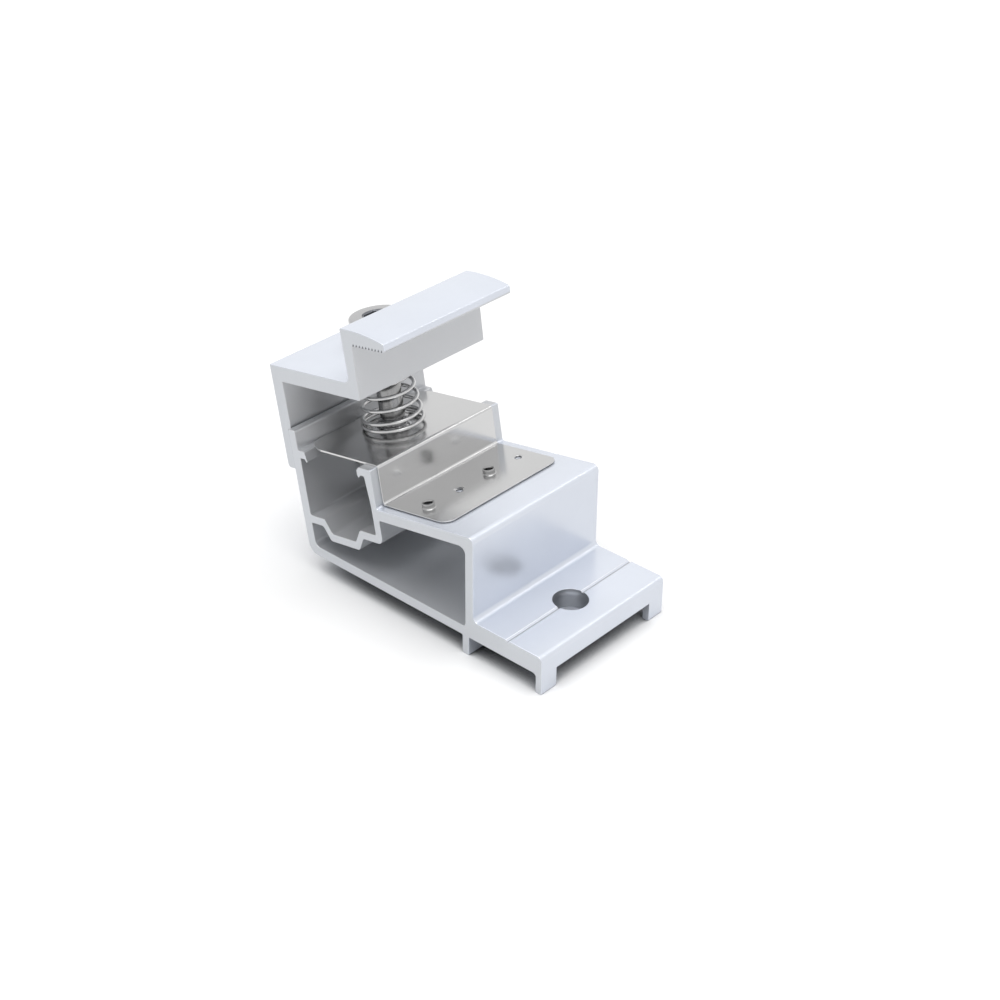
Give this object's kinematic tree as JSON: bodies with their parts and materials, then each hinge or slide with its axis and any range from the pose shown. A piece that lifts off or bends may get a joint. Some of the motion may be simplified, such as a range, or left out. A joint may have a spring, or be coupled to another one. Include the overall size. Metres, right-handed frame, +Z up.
{
  "type": "solar panel support leg",
  "caption": "Short extruded aluminium foot with a tilted channel, a screw-down edge clamp on a conical spring and a stepped bonding plate, for holding a panel's frame.",
  "frame": {"origin": "centre of the flange's fixing hole, at the underside of the flange", "axes": "+Z up along the fixing hole, +X from the channel towards the flange, +Y along the extrusion"},
  "size_m": [0.0916, 0.046, 0.0744],
  "materials": {
    "extrusion": "satin anodised",
    "clamp": "satin anodised",
    "screw": "bright stainless",
    "spring": "drawn stainless wire",
    "sheet": "rolled stainless",
    "nut": "mill"
  },
  "bodies": {
    "base": {"base_profile": "extrusion", "bonding_plate": "sheet", "conical_spring": "spring", "channel_nut": "nut"},
    "clamp": {"edge_clamp": "clamp"},
    "screw": {"clamp_screw": "screw"}
  },
  "joints": [
    {"name": "clamp_slide", "type": "slide", "parent": "base", "child": "clamp", "axis": [-0.1736, 0, 0.9848], "range_m": [-0.0095, 0], "deforming": ["conical_spring"]},
    {"name": "screw_turn", "type": "hinge", "parent": "clamp", "child": "screw", "pos_m": [-0.06289, -0.0003, 0.05249], "axis": [-0.1736, 0, 0.9848], "range_deg": [-2736, 0]}
  ],
  "couplings": [
    {"joint": "clamp_slide", "follows": "screw_turn", "m_per_rad": 0.00019894}
  ]
}
